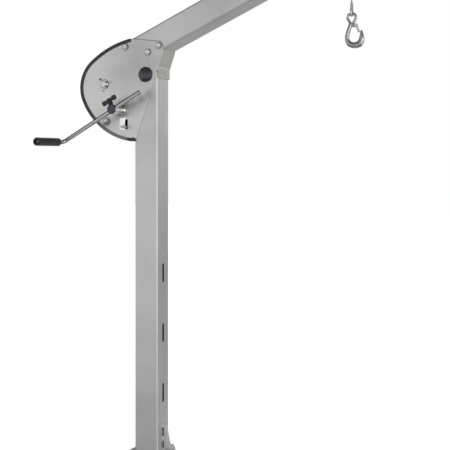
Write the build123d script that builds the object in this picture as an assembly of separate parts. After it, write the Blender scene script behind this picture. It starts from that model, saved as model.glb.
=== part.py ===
# Swivel davit with a hand winch in its head. Millimetres, +Z up.
# The origin is the centre of the foot's underside, on the swivel axis.
# The arm reaches along +X, and the crank is on the -Y side.
import os
from math import acos, asin, atan2, cos, degrees, hypot, pi, radians, sin, sqrt, tan
from build123d import *

# Fits
seat_gap = 0.02          # a piece pressed or bolted into its own body
running_gap = 0.06       # a shaft in its bush, per side
face_gap = 0.3           # two moving pieces beside each other
screw_gap = 0.5          # a bolt in its hole, per side

# Mast and arm tubes
mast_width = 100
mast_wall = 4
arm_width = 100
arm_wall = 4
tube_corner = 8
arm_angle = 24           # above level
arm_axis_height = 1694   # where the arm's axis crosses the swivel axis
arm_back = 110           # length of arm behind the swivel axis, along the arm
reach = 800              # swivel axis to the hanging rope
arm_tip = 60             # arm beyond the tip sheave's centre, along the arm
slot_length = 75
slot_width = 15
slot_pitch = 236
slot_top_height = 797    # centre of the highest slot
slot_count = 3

# Foot and swivel
base_side = 300
base_thickness = 12
base_corner = 20
anchor_spacing = 240
anchor_hole_radius = 9
foot_tube_radius = 55
foot_tube_wall = 6
foot_gusset_count = 4
foot_gusset_height = 17
foot_gusset_reach = 100
foot_gusset_thickness = 8
foot_gusset_toe = 4
fixed_flange_radius = 70
fixed_flange_thickness = 12
fixed_flange_height = 47     # its underside
thrust_washer_thickness = 3
turn_gap = 0.6               # between the keeper ring and the fixed flange
keeper_thickness = 8
keeper_bore_radius = 60
keeper_wall_bore_radius = 74
swivel_flange_radius = 105
swivel_flange_thickness = 12
swivel_flange_edge = 2
flange_bolt_circle = 84       # radius of the circle
flange_bolt_count = 4
flange_bolt_radius = 8
flange_bolt_flats = 24
flange_bolt_head = 9
flange_washer_radius = 14.5
flange_washer = 3
flange_nut = 13
flange_stud_end = 10
stud_edge = 1.5
post_radius = 30
post_wall = 7
post_height = 430            # top of the post above the base plate
post_edge = 2
post_cap_thickness = 8
bearing_radius = 35
bearing_lip = 5
bearing_lip_thickness = 3
bearing_plate_thickness = 20
bearing_plate_corner = 5
lower_bearing_height = 100
upper_bearing_height = 395
rib_height = 127
rib_foot = 41
rib_toe = 5
rib_top = 15
rib_thickness = 8
rib_weld_gap = 5
rib_slots = ((33, 30), (80, 35))   # bottom and length of each unwelded stretch

# Head: two side plates, a cover band and the nose plate
# Each of its places is X from the swivel axis, and Z from where that axis crosses the arm's
plate_thickness = 4
plate_edge = 0.6
cover_wall = 3
cover_lip = 13
cover_lip_thickness = 2
cover_start = (-66.3, 26.9)
cover_heading = 190
cover_radii = (396, 135, 280)    # of the cover's three arcs
cover_turns = (29, 75.5, 58)     # degrees that each arc turns
cover_tail_height = 9
plate_front_top = (77.7, -20.5)
plate_front_foot = (-46, -377)
plate_top_corner = (66.5, 8.3)
plate_foot_radius = 16
plate_corner_radius = 5
nose_thickness = 4
nose_flange_drop = 131
tie_drop = 117.5
tie_radius = 28
tie_wall = 3
plug_radius = 30
plug_rim = 3
plug_dome = 7
plug_depth = 12

# Bolts through the head: three at places along the arm and above its axis, and one behind the winch
arm_bolts = ((-83, 32), (-3, -32), (50, -29))
frame_bolt_place = (-174.8, -298.2)
hexagon_crown = 0.95         # flat round on a bolt head's or nut's top, as a share of its width
hexagon_crown_slope = 30
bolt_radius = 5
bolt_head_height = 7
bolt_head_flats = 17
bolt_washer_radius = 10.5
bolt_washer = 2
bolt_nut_height = 9
bolt_end = 4
sleeve_radius = 8

# Winch
crank_place = (-110, -254)
module = 4
pinion_teeth = 16
gear_teeth = 48
pressure_angle = 20
tooth_backlash = 0.3
tooth_foot = 1.25            # depth below the pitch circle, in modules
flank_points = 5
gear_line_angle = 125    # from the crank axis up to the drum axis
gear_width = 14
pinion_width = 16
gear_hole_radius = 17
gear_hole_circle = 56
gear_hole_count = 5
rope_radius = 2.5
drum_rope_radius = 45
drum_flange_radius = 62
drum_flange = 4
drum_length = 52         # between its flanges
drum_hub_radius = 20
drum_core_wall = 6
drum_web = 6
axle_radius = 10
axle_head_radius = 14
axle_head_height = 9
axle_head_edge = 3
axle_washer_radius = 17
axle_washer = 2
axle_nut_flats = 30
axle_nut_height = 12
bush_wall = 3
bush_flange = 1.5
bush_flange_radius = 17
bush_length = 14
boss_radius = 36
boss_plate = 4
boss_collar_radius = 16
boss_screw_circle = 28
boss_screw_radius = 2.5
boss_screw_head_radius = 4.5
boss_screw_head = 2.5
boss_screw_first_angle = 135
boss_screw_count = 3

# Ratchet and brake pads on the crank shaft
shaft_radius = 10
ratchet_seat_radius = 12
ratchet_teeth = 12
ratchet_radius = 44
ratchet_root_radius = 37
ratchet_face_lean = 0.5      # degrees between a tooth face's tip and root
ratchet_width = 7
ratchet_stop_angle = 211     # of the tooth face that the pawl holds
pad_radius = 30
pad_thickness = 1.5
collar_radius = 26
collar_thickness = 1.6
collar_clearance = 1.6       # plate to collar
press_disc_thickness = 3.6
pad_gap = 0.1
crank_bush_radius = 17
crank_bush_flange_radius = 24
crank_bush_flange = 6
far_bush_flange_radius = 20
far_bush_flange = 3
end_washer_radius = 15
end_washer = 2
end_screw_flats = 13
end_screw_head = 5.5

# Pawl, its stud, spring and release pin, placed from the crank's axis
pawl_pivot_place = (-15, -54)
pawl_stud_radius = 5
pawl_stud_head_radius = 8
pawl_stud_head = 2
pawl_boss_radius = 9
pawl_width = 6.4
pawl_face_rise = 3           # tooth face beyond the ratchet's tips
pawl_top_lean = 0.8          # degrees from the held tooth's face to the pawl's, at its top
pawl_foot_lean = 1.2         # the same at the tooth's foot
pawl_back_angle = 1          # where the tooth's back meets the boss
pawl_arm_width = 9
pawl_pin_place = (23.3, -67.4)
pawl_pin_radius = 4.2
pawl_knob_radius = 5.8
pawl_knob_start = 3.5        # outside the plate
pawl_knob_length = 35
pawl_knob_edge = 2
pawl_slot_place = (24.8, -56.5)
pawl_slot_width = 12
pawl_slot_length = 41.5
spring_peg_radius = 2
spring_peg_distance = 20     # from the pawl's pivot, along its arm
spring_anchor_drop = 30
spring_anchor_radius = 2
spring_radius = 3.6
spring_wire = 0.6
spring_coils = 8
spring_ring_gap = 0.2

# Crank
hub_start = 60.6             # distance of each from the mid plane
hub_step = 96
hub_end = 129
hub_sleeve_radius = 15.5
hub_radius = 19.5
hub_edge = 2.5
hub_bore_end = 98
crank_plane = 111
bar_radius = 8
bar_angle = 29
bar_tail = 130               # hub axis to the bar's free end
bar_arm = 262                # hub axis to the grip's axis
bar_bend = 17
grip_radius = 16
grip_neck_radius = 11
grip_start = 139
grip_end = 291
grip_taper = 10
grip_edge = 3
grip_gap = 0.1
grip_recess_radius = 9.5
grip_recess = 12
retainer_radius = 9
retainer_thickness = 2
retainer_screw_radius = 5
retainer_screw_head = 3
wing_stud_radius = 5
wing_boss_radius = 10
wing_boss_foot = 23
wing_boss_top = 46
wing_span = 66
wing_height = 18
wing_low = 30.5
wing_thickness = 10
wing_lobe_length = 20
wing_lobe_corner = 5
wing_waist = 11
wing_edge = 2.5
wing_tip_gap = 0.3

# Tip sheave
sheave_rope_radius = 35
sheave_radius = 42
sheave_width = 16
sheave_drop = 14             # its centre below the arm's axis
sheave_groove_angle = 20     # of each flank
sheave_rim = 4               # under the groove
sheave_hub = 5               # around the bush
sheave_web = 5.4
sheave_axle_radius = 8
sheave_bush_wall = 2.5
sheave_axle_head = 6
sheave_axle_flats = 24
sheave_nut_height = 11
spacer_radius = 12
spacer_gap = 0.4
rope_slot_half_length = 33
rope_slot_shift = 3          # the slot's middle past the sheave's centre
rope_slot_width = 24
cap_thickness = 5
cap_plug = 12
cap_plug_wall = 3
cap_plug_corner = 1
cap_edge = 2

# Rope end
rope_hang = 179.3            # sheave's centre down to the ferrule
ferrule_length = 23
ferrule_width = 9
ferrule_breadth = 14
ferrule_edge = 2
run_start = 24               # rope's clear start past the drum's tangent point
eye_bar_radius = 4.75
eye_bar_drop = 49.25         # ferrule's foot down to the centre of the eye's top bar
eye_top_radius = 14.75       # to the bar's centre
eye_foot_radius = 6.5
eye_drop = 16                # between the eye's two arcs
thimble_radius = 9
thimble_play = 1             # under the eye's bar at its middle
thimble_width = 8
thimble_wall = 1.5
thimble_length = 36          # above its arc's centre
thimble_taper = 0.95         # share of the way up to where the rope's sides would cross
rope_gap = 0.05

# Hook, in the plane of the arm, drawn from the load line and the bowl's height
bowl_drop = 85.75            # centre of the eye's top bar down to the bowl's centre
# Centre in X and Z, breadth in this plane and depth across it, from the shank to the tip
hook_sections = ((-3.5, 47, 14, 12), (-8.5, 34, 14, 13), (-13.5, 18, 15, 14), (-16.9, 0, 15.6, 14),
                 (-10, -20, 19, 14.5), (9, -28, 21.4, 15), (27.8, -23.2, 24, 14.5), (35.6, -5, 19.6, 13),
                 (35.6, 10, 13, 11), (34.8, 20, 8.4, 8.4))
lug_place = (15.5, 43)
lug_radius = 6.5
lug_thickness = 5
latch_pin_radius = 2
latch_pin_head_radius = 3.5
latch_pin_head = 1.2
latch_sheet = 1.4
latch_ear_radius = 6
latch_length = 27
latch_tip_width = 8
latch_shift = 1              # its arms' middle outside the pivot
latch_gap = 0.4

# Worked out from the sizes above
plate_inner = mast_width / 2
plate_outer = plate_inner + plate_thickness
cover_half = plate_outer + cover_lip_thickness
arm_half = arm_width / 2
tie_height = arm_axis_height - tie_drop
frame_bolt = (frame_bolt_place[0], arm_axis_height + frame_bolt_place[1])
crank_axis = (crank_place[0], arm_axis_height + crank_place[1])
pawl_pivot = (crank_axis[0] + pawl_pivot_place[0], crank_axis[1] + pawl_pivot_place[1])
pawl_pin = (crank_axis[0] + pawl_pin_place[0], crank_axis[1] + pawl_pin_place[1])
pawl_slot_centre = (crank_axis[0] + pawl_slot_place[0], crank_axis[1] + pawl_slot_place[1])
keeper_top = fixed_flange_height - turn_gap
flange_low = fixed_flange_height + fixed_flange_thickness + thrust_washer_thickness
mast_foot = flange_low + swivel_flange_thickness
centre_distance = module * (pinion_teeth + gear_teeth) / 2
drum_axis = (crank_axis[0] + centre_distance * cos(radians(gear_line_angle)),
             crank_axis[1] + centre_distance * sin(radians(gear_line_angle)))
collar_low = -plate_inner + collar_clearance
pad_low = collar_low + collar_thickness + pad_gap
ratchet_low = pad_low + pad_thickness
ratchet_high = ratchet_low + ratchet_width
press_low = ratchet_high + pad_thickness + pad_gap
pinion_low = press_low + press_disc_thickness
gear_low = pinion_low + (pinion_width - gear_width) / 2
gear_high = gear_low + gear_width
drum_low = gear_high
drum_high = drum_low + 2 * drum_flange + drum_length
core_radius = drum_rope_radius - rope_radius
sheave_x = reach - sheave_rope_radius
sheave_along = (sheave_x - sheave_drop * sin(radians(arm_angle))) / cos(radians(arm_angle))
arm_length = sheave_along + arm_tip
sheave_height = (arm_axis_height + sheave_along * sin(radians(arm_angle))
                 - sheave_drop * cos(radians(arm_angle)))
ferrule_high = sheave_height - rope_hang
ferrule_low = ferrule_high - ferrule_length
eye_bar_height = ferrule_low - eye_bar_drop
bowl_height = eye_bar_height - bowl_drop
thimble_low = eye_bar_height - eye_bar_radius - thimble_play
thimble_centre = thimble_low + thimble_radius
loop_radius = thimble_radius + thimble_wall + rope_radius + rope_gap
arm_frame = Pos(0, 0, arm_axis_height) * Rot(0, -arm_angle, 0)


# Turns a drawing of X and Z into a slab between two Y values
def slab(face, low, high):
    return Plane((0, high, 0), x_dir=(1, 0, 0), z_dir=(0, -1, 0)) * extrude(face, high - low)


def rod(place, radius, low, high):
    return slab(Pos(*place) * Circle(radius), low, high)


def tube(place, outer, inner, low, high):
    return slab(Pos(*place) * (Circle(outer) - Circle(inner)), low, high)


# Turns a profile of radius and Y about an axis along Y
def turned(points, place):
    profile = make_face(Polyline(*points, close=True))
    return Pos(place[0], 0, place[1]) * revolve(profile, Axis.Y)


# Turns a profile of radius and Z about the swivel axis
def turned_upright(points):
    profile = make_face(Polyline(*[(r, 0, z) for r, z in points], close=True))
    return revolve(profile, Axis.Z)


# Bolt head or nut without its bore, upright on its seat, with its top corners turned off
def hexagon(flats, height):
    corner = flats / 2 / cos(pi / 6)
    crown = hexagon_crown * flats / 2
    edge = (corner - crown) * tan(radians(hexagon_crown_slope))
    blank = extrude(RegularPolygon(flats / 2, 6, major_radius=False), height)
    envelope = [(0, 0), (corner, 0), (corner, height - edge), (crown, height), (0, height)]
    return blank & turned_upright(envelope)


def nut(flats, height, bore_radius):
    return hexagon(flats, height) - extrude(Circle(bore_radius), height)


# Lays an upright piece on its side, its foot at a Y value and its top towards -Y or +Y
def sideways(piece, place, seat, out):
    return Pos(place[0], seat, place[1]) * Rot(-90 * out, 0, 0) * piece


def arm_place(along, above):
    spot = arm_frame * Pos(along, 0, above)
    return spot.position.X, spot.position.Z


def square_tube(width, wall, length):
    outer = RectangleRounded(width, width, tube_corner)
    inner = RectangleRounded(width - 2 * wall, width - 2 * wall, tube_corner - wall)
    return extrude(outer - inner, length)


def polar(centre, radius, angle):
    return centre[0] + radius * cos(radians(angle)), centre[1] + radius * sin(radians(angle))


def around(count, radius, first=0):
    return [polar((0, 0), radius, first + 360 * i / count) for i in range(count)]


# Closed belt round a large circle at the origin and a small one below or above it
def belt(large, small, distance):
    lean = asin((large - small) / abs(distance))
    side = 1 if distance > 0 else -1
    normal = (cos(lean), side * sin(lean))
    large_right = (large * normal[0], large * normal[1])
    small_right = (small * normal[0], distance + small * normal[1])
    large_left = (-large_right[0], large_right[1])
    small_left = (-small_right[0], small_right[1])
    edges = [ThreePointArc(large_right, (0, -side * large), large_left), Line(large_left, small_left)]
    edges.append(ThreePointArc(small_left, (0, distance + side * small), small_right))
    edges.append(Line(small_right, large_right))
    return edges


# Foot
def base_plate():
    plate = extrude(RectangleRounded(base_side, base_side, base_corner), base_thickness)
    holes = GridLocations(anchor_spacing, anchor_spacing, 2, 2) * Circle(anchor_hole_radius)
    plate -= extrude(Sketch() + holes, base_thickness)
    return plate


def foot_tube():
    low, high = base_thickness, fixed_flange_height
    inner = foot_tube_radius - foot_tube_wall
    return turned_upright([(inner, low), (foot_tube_radius, low), (foot_tube_radius, high), (inner, high)])


def foot_flange():
    low, high = fixed_flange_height, fixed_flange_height + fixed_flange_thickness
    inner, outer = post_radius + seat_gap, fixed_flange_radius
    return turned_upright([(inner, low), (outer, low), (outer, high), (inner, high)])


def foot_gussets():
    low = base_thickness
    top = low + foot_gusset_height
    inner = sqrt(foot_tube_radius ** 2 - (foot_gusset_thickness / 2) ** 2) + seat_gap
    outline = [(inner, low), (foot_gusset_reach, low), (foot_gusset_reach, low + foot_gusset_toe),
               (inner + foot_gusset_toe, top), (inner, top)]
    half = foot_gusset_thickness / 2
    gusset = slab(make_face(Polyline(*outline, close=True)), -half, half)
    gusset -= Cylinder(foot_tube_radius + seat_gap, 2 * top)
    pitch = 360 / foot_gusset_count
    return Part() + [Rot(0, 0, pitch * (i + 1 / 2)) * gusset for i in range(foot_gusset_count)]


def pivot_post():
    inner = post_radius - post_wall
    low, high = base_thickness, base_thickness + post_height
    return turned_upright([(inner, low), (post_radius, low), (post_radius, high - post_edge),
                           (post_radius - post_edge, high), (inner, high)])


def post_cap():
    inner = post_radius - post_wall - seat_gap
    high = base_thickness + post_height
    low = high - post_cap_thickness
    return turned_upright([(0, low), (inner, low), (inner, high), (0, high)])


def thrust_washer():
    low = fixed_flange_height + fixed_flange_thickness
    high = low + thrust_washer_thickness
    inner, outer = post_radius + screw_gap, fixed_flange_radius
    return turned_upright([(inner, low), (outer, low), (outer, high), (inner, high)])


# Swivel joint's moving half
def swivel_flange():
    outer, inner = swivel_flange_radius, bearing_radius
    edge = mast_foot - swivel_flange_edge
    plate = turned_upright([(inner, flange_low), (outer, flange_low), (outer, edge),
                            (outer - swivel_flange_edge, mast_foot), (inner, mast_foot)])
    return plate - flange_bolt_holes(flange_low, mast_foot)


def flange_bolt_places():
    return around(flange_bolt_count, flange_bolt_circle, 180 / flange_bolt_count)


def flange_bolt_holes(low, high):
    holes = [Pos(x, y, low) * extrude(Circle(flange_bolt_radius + screw_gap), high - low)
             for x, y in flange_bolt_places()]
    return Part() + holes


def keeper_ring():
    low = keeper_top - keeper_thickness
    outer, wall, inner = swivel_flange_radius, keeper_wall_bore_radius, keeper_bore_radius
    ring = turned_upright([(inner, low), (outer, low), (outer, flange_low), (wall, flange_low),
                           (wall, keeper_top), (inner, keeper_top)])
    return ring - flange_bolt_holes(low, flange_low)


def flange_bolts():
    low = keeper_top - keeper_thickness
    length = mast_foot - low + flange_washer + flange_nut + flange_stud_end
    head = Pos(0, 0, low) * Rot(180, 0, 0) * hexagon(flange_bolt_flats, flange_bolt_head)
    stud = Pos(0, 0, low) * extrude(Circle(flange_bolt_radius), length)
    stud = chamfer(stud.edges().group_by(Axis.Z)[-1], stud_edge)
    return Part() + [Pos(x, y, 0) * (head + stud) for x, y in flange_bolt_places()]


def flange_nuts():
    bore = flange_bolt_radius + seat_gap
    washer = extrude(Circle(flange_washer_radius) - Circle(bore), flange_washer)
    stack = washer + Pos(0, 0, flange_washer) * nut(flange_bolt_flats, flange_nut, bore)
    return Part() + [Pos(x, y, mast_foot) * stack for x, y in flange_bolt_places()]


def bearing_plates():
    side = mast_width - 2 * mast_wall - 2 * running_gap
    face = RectangleRounded(side, side, bearing_plate_corner) - Circle(bearing_radius + seat_gap)
    plate = extrude(face, bearing_plate_thickness)
    return Part() + [Pos(0, 0, height) * plate for height in (lower_bearing_height, upper_bearing_height)]


def bearing_bushes():
    inner = post_radius + running_gap
    lip = bearing_radius + bearing_lip
    rings = []
    for height in (lower_bearing_height, upper_bearing_height):
        top = height + bearing_plate_thickness
        lip_top = top + bearing_lip_thickness
        rings.append(turned_upright([(inner, height), (bearing_radius, height), (bearing_radius, top),
                                     (lip, top), (lip, lip_top), (inner, lip_top)]))
    return Part() + rings


# Mast
def slot_heights():
    return [slot_top_height - slot_pitch * i for i in range(slot_count)]


def mast_tube():
    tall = arm_axis_height
    body = Pos(0, 0, mast_foot) * square_tube(mast_width, mast_wall, tall - mast_foot)
    upwards = (Align.CENTER, Align.CENTER, Align.MIN)
    body -= arm_frame * Pos(0, 0, -arm_half) * Box(tall, 2 * mast_width, tall, align=upwards)
    body -= rod((0, tie_height), tie_radius + seat_gap, -mast_width, mast_width)
    wall = Plane((0, 0, 0), x_dir=(0, 1, 0), z_dir=(1, 0, 0))
    for height in slot_heights():
        slot = Pos(0, height) * Rot(0, 0, 90) * SlotOverall(slot_length, slot_width)
        body -= wall * extrude(slot, mast_width)
    return body


def mast_rib():
    low = mast_foot
    near = mast_width / 2
    outline = make_face(Polyline((near, low), (near + rib_foot, low), (near + rib_foot, low + rib_toe),
                                 (near + rib_top, low + rib_height), (near, low + rib_height), close=True))
    for start, length in rib_slots:
        outline -= Pos(near, low + start + length / 2) * Rectangle(2 * rib_weld_gap, length)
    return slab(outline, -rib_thickness / 2, rib_thickness / 2)


# Head
def from_arm_axis(place):
    return place[0], arm_axis_height + place[1]


def cover_path(inset):
    heading = radians(cover_heading)
    first_x, first_z = from_arm_axis(cover_start)
    start = (first_x - inset * sin(heading), first_z + inset * cos(heading))
    tangent = (cos(heading), sin(heading))
    edges = []
    for radius, turn in zip(cover_radii, cover_turns):
        arc = JernArc(start, tangent, radius - inset, turn)
        edges.append(arc)
        start, tangent = arc @ 1, arc % 1
    return edges


def side_plate_face():
    edges = cover_path(cover_wall)
    first, last = edges[0] @ 0, edges[-1] @ 1
    corners = [from_arm_axis(place) for place in (plate_front_foot, plate_front_top, plate_top_corner)]
    radii = [plate_foot_radius, plate_corner_radius, plate_corner_radius]
    edges.append(FilletPolyline(last, *corners, first, radius=radii))
    face = make_face(edges)
    for along, above in arm_bolts:
        face -= Pos(*arm_place(along, above)) * Circle(bolt_radius + screw_gap)
    face -= Pos(*frame_bolt) * Circle(bolt_radius + screw_gap)
    face -= Pos(0, tie_height) * Circle(tie_radius + seat_gap)
    face -= Pos(*drum_axis) * Circle(axle_radius + seat_gap)
    for place in boss_screw_places():
        face -= Pos(*place) * Circle(boss_screw_radius + seat_gap)
    face -= Pos(*crank_axis) * Circle(crank_bush_radius + seat_gap)
    return face


# Takes the sharp edge off a side plate's outer face along its rim
def plate_rim_eased(plate, out):
    face = plate.faces().sort_by(Axis.Y)[-1 if out > 0 else 0]
    return chamfer(face.outer_wire().edges(), plate_edge)


def crank_side_plate():
    face = side_plate_face()
    face -= Pos(*pawl_slot_centre) * Rot(0, 0, 90) * SlotOverall(pawl_slot_length, pawl_slot_width)
    return plate_rim_eased(slab(face, -plate_outer, -plate_inner), -1)


def far_side_plate():
    return plate_rim_eased(slab(side_plate_face(), plate_inner, plate_outer), 1)


def cover_ring(inset):
    outer, inner = cover_path(0), cover_path(inset)
    ends = [Line(outer[0] @ 0, inner[0] @ 0), Line(outer[-1] @ 1, inner[-1] @ 1)]
    return make_face(outer + inner + ends)


def cover_band():
    web = cover_ring(cover_wall)
    last = cover_path(0)[-1] @ 1
    foot_x = -mast_width / 2
    tail = Polyline((last.X, last.Y), (foot_x, last.Y), (foot_x, last.Y + cover_tail_height),
                    (last.X, last.Y + cover_wall), close=True)
    band = slab(web, -cover_half, cover_half) + slab(make_face(tail), -plate_inner, plate_inner)
    lip = cover_ring(cover_lip)
    band += slab(lip, -cover_half, -plate_outer) + slab(lip, plate_outer, cover_half)
    outwards = (Align.MIN, Align.CENTER, Align.CENTER)
    return band - arm_frame * Pos(-arm_back, 0, 0) * Box(arm_length, arm_width, arm_width, align=outwards)


def nose_plate():
    front_foot = from_arm_axis(plate_front_foot)
    lean = atan2(plate_front_top[1] - plate_front_foot[1], plate_front_top[0] - plate_front_foot[0])
    face_x = mast_width / 2 + nose_thickness
    bend = (face_x, front_foot[1] + (face_x - front_foot[0]) * tan(lean))
    step = (nose_thickness * sin(lean), -nose_thickness * cos(lean))
    top = (bend[0] + 2 * mast_width * cos(lean), bend[1] + 2 * mast_width * sin(lean))
    inner_x = mast_width / 2
    inner_bend = (inner_x, bend[1] - step[1] + (inner_x - bend[0] + step[0]) * tan(lean))
    flange_foot = arm_axis_height - nose_flange_drop
    outline = Polyline((inner_x, flange_foot), (face_x, flange_foot), bend, top,
                       (top[0] - step[0], top[1] - step[1]), inner_bend, close=True)
    plate = slab(make_face(outline), -plate_inner, plate_inner)
    upwards = (Align.CENTER, Align.CENTER, Align.MIN)
    above = Pos(0, 0, -arm_half) * Box(arm_length, mast_width, arm_length, align=upwards)
    return plate - arm_frame * above


def tie_tube():
    return tube((0, tie_height), tie_radius, tie_radius - tie_wall, -plate_outer, plate_outer)


def tie_plugs():
    inner = tie_radius - tie_wall - seat_gap
    face = plate_outer
    rim = face + plug_rim
    crown = rim + plug_dome
    ball = (plug_radius ** 2 + plug_dome ** 2) / (2 * plug_dome)
    half_turn = degrees(asin(plug_radius / ball)) / 2
    middle = polar((0, crown - ball), ball, 90 - half_turn)
    edges = [Polyline((0, crown), (0, face - plug_depth), (inner, face - plug_depth), (inner, face),
                      (plug_radius, face), (plug_radius, rim)),
             ThreePointArc((plug_radius, rim), middle, (0, crown))]
    plug = Pos(0, 0, tie_height) * revolve(make_face(edges), Axis.Y)
    return Part() + [plug, Rot(0, 0, 180) * plug]


def head_bolt_places():
    return [arm_place(along, above) for along, above in arm_bolts] + [frame_bolt]


def head_bolts():
    pieces = []
    seat = plate_outer + bolt_washer
    for place in head_bolt_places():
        head = sideways(hexagon(bolt_head_flats, bolt_head_height), place, -seat, -1)
        pieces.append(head + rod(place, bolt_radius, -seat, seat + bolt_nut_height + bolt_end))
    return Part() + pieces


def head_nuts():
    pieces = []
    bore = bolt_radius + seat_gap
    seat = plate_outer + bolt_washer
    for place in head_bolt_places():
        near_washer = tube(place, bolt_washer_radius, bore, -seat, -plate_outer)
        washer = tube(place, bolt_washer_radius, bore, plate_outer, seat)
        end_nut = nut(bolt_head_flats, bolt_nut_height, bore)
        pieces += [near_washer, washer + sideways(end_nut, place, seat, 1)]
    return Part() + pieces


def head_sleeves():
    pieces = []
    for along, above in arm_bolts:
        half = arm_half - arm_wall - seat_gap
        pieces.append(tube(arm_place(along, above), sleeve_radius, bolt_radius + seat_gap, -half, half))
    half = plate_inner - seat_gap
    pieces.append(tube(frame_bolt, sleeve_radius, bolt_radius + seat_gap, -half, half))
    return Part() + pieces


# Arm
def arm_tube():
    end = Plane((-arm_back, 0, 0), x_dir=(0, 1, 0), z_dir=(1, 0, 0))
    body = end * square_tube(arm_width, arm_wall, arm_back + arm_length)
    slot = Box(2 * rope_slot_half_length, rope_slot_width, arm_half)
    body -= Pos(sheave_along + rope_slot_shift, 0, -arm_half) * slot
    body = arm_frame * body
    for along, above in arm_bolts:
        body -= rod(arm_place(along, above), bolt_radius + screw_gap, -arm_width, arm_width)
    body -= rod(sheave_place(), sheave_axle_radius + seat_gap, -arm_width, arm_width)
    return body


def sheave_place():
    return sheave_x, sheave_height


def arm_end_cap():
    side = Plane((arm_length, 0, 0), x_dir=(0, 1, 0), z_dir=(1, 0, 0))
    plate = extrude(RectangleRounded(arm_width, arm_width, tube_corner), cap_thickness)
    plate = chamfer(plate.faces().sort_by(Axis.Z)[-1].edges(), cap_edge)
    bore = arm_width - 2 * arm_wall - 2 * seat_gap
    plug = RectangleRounded(bore, bore, tube_corner - arm_wall)
    hollow = bore - 2 * cap_plug_wall
    plug -= RectangleRounded(hollow, hollow, cap_plug_corner)
    cap = plate + extrude(plug, -cap_plug)
    return arm_frame * (side * cap)


def sheave():
    half = sheave_width / 2
    groove = rope_radius + rope_gap + face_gap
    bed = sheave_rope_radius
    flank = radians(sheave_groove_angle)
    touch = (bed - groove * sin(flank), groove * cos(flank))
    rim_half = touch[1] + (sheave_radius - touch[0]) * tan(flank)
    bore = sheave_axle_radius + sheave_bush_wall
    web = sheave_web / 2
    rim = bed - groove - sheave_rim
    hub = bore + sheave_hub
    outer = sheave_radius
    edges = [Line((outer, -rim_half), (touch[0], -touch[1])),
             ThreePointArc((touch[0], -touch[1]), (bed - groove, 0), touch),
             Polyline(touch, (outer, rim_half), (outer, half), (rim, half), (rim, web), (hub, web),
                      (hub, half), (bore, half), (bore, -half), (hub, -half), (hub, -web), (rim, -web),
                      (rim, -half), (outer, -half), (outer, -rim_half))]
    place = sheave_place()
    return Pos(place[0], 0, place[1]) * revolve(make_face(edges), Axis.Y)


def sheave_bush():
    half = sheave_width / 2
    outer = sheave_axle_radius + sheave_bush_wall - seat_gap
    return tube(sheave_place(), outer, sheave_axle_radius + running_gap, -half, half)


def sheave_spacers():
    pieces = []
    low, high = sheave_width / 2 + spacer_gap, arm_half - arm_wall - seat_gap
    for start, end in ((-high, -low), (low, high)):
        pieces.append(tube(sheave_place(), spacer_radius, sheave_axle_radius + seat_gap, start, end))
    return Part() + pieces


def sheave_axle():
    place = sheave_place()
    head = sideways(hexagon(sheave_axle_flats, sheave_axle_head), place, -arm_half, -1)
    axle = head + rod(place, sheave_axle_radius, -arm_half, arm_half + sheave_nut_height + bolt_end)
    end_nut = nut(sheave_axle_flats, sheave_nut_height, sheave_axle_radius + seat_gap)
    return Part() + [axle, sideways(end_nut, place, arm_half, 1)]


# Rope
def rope_along(wire, start, direction):
    return sweep(Plane(start, z_dir=direction) * Circle(rope_radius), path=wire)


def rope_run():
    centre = sheave_place()
    span = (centre[0] - drum_axis[0], centre[1] - drum_axis[1])
    lean = atan2(span[1], span[0]) - asin((drum_rope_radius - sheave_rope_radius) / hypot(*span))
    up = (-sin(lean), cos(lean))
    ahead = (cos(lean), sin(lean))
    start = (drum_axis[0] + drum_rope_radius * up[0] + run_start * ahead[0], 0,
             drum_axis[1] + drum_rope_radius * up[1] + run_start * ahead[1])
    touch = (centre[0] + sheave_rope_radius * up[0], 0, centre[1] + sheave_rope_radius * up[1])
    crown_x, crown_z = polar(centre, sheave_rope_radius, degrees(pi / 2 + lean) / 2)
    leave = (reach, 0, centre[1])
    wire = Wire([Line(start, touch), ThreePointArc(touch, (crown_x, 0, crown_z), leave)])
    return rope_along(wire, start, (ahead[0], 0, ahead[1]))


def hanging_rope():
    return Pos(reach, 0, ferrule_high) * extrude(Circle(rope_radius), rope_hang)


def rope_coil():
    low, high = drum_low + drum_flange, drum_high - drum_flange
    outer = drum_rope_radius + rope_radius
    inner = core_radius + seat_gap
    edge = rope_radius / 2
    return turned([(inner, low), (outer - edge, low), (outer, low + edge), (outer, high - edge),
                   (outer - edge, high), (inner, high)], drum_axis)


def rope_ferrule():
    body = extrude(SlotOverall(ferrule_breadth, ferrule_width, rotation=90), ferrule_length)
    body = fillet(body.faces().filter_by(Axis.Z).edges(), ferrule_edge)
    return Pos(reach, 0, ferrule_low) * body


# Half of the loop's centre line: the strand's foot on the arc and its top at the ferrule
def loop_points():
    top = (rope_radius + rope_gap, ferrule_low - thimble_centre)
    far = hypot(*top)
    angle = atan2(top[1], top[0]) - acos(loop_radius / far)
    foot = (loop_radius * cos(angle), loop_radius * sin(angle))
    return foot, top


def loop_wire():
    foot, top = loop_points()
    spot = Plane((reach, 0, thimble_centre), x_dir=(0, 1, 0), z_dir=(1, 0, 0))
    return Wire([spot * Line(top, foot), spot * ThreePointArc(foot, (0, -loop_radius), (-foot[0], foot[1])),
                 spot * Line((-foot[0], foot[1]), (-top[0], top[1]))])


def rope_eye():
    foot, top = loop_points()
    loop = rope_along(loop_wire(), (reach, top[0], ferrule_low), (0, foot[0] - top[0], foot[1] - top[1]))
    above = extrude(Circle(ferrule_breadth), ferrule_length)
    return loop - Pos(reach, 0, ferrule_low) * above


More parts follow.
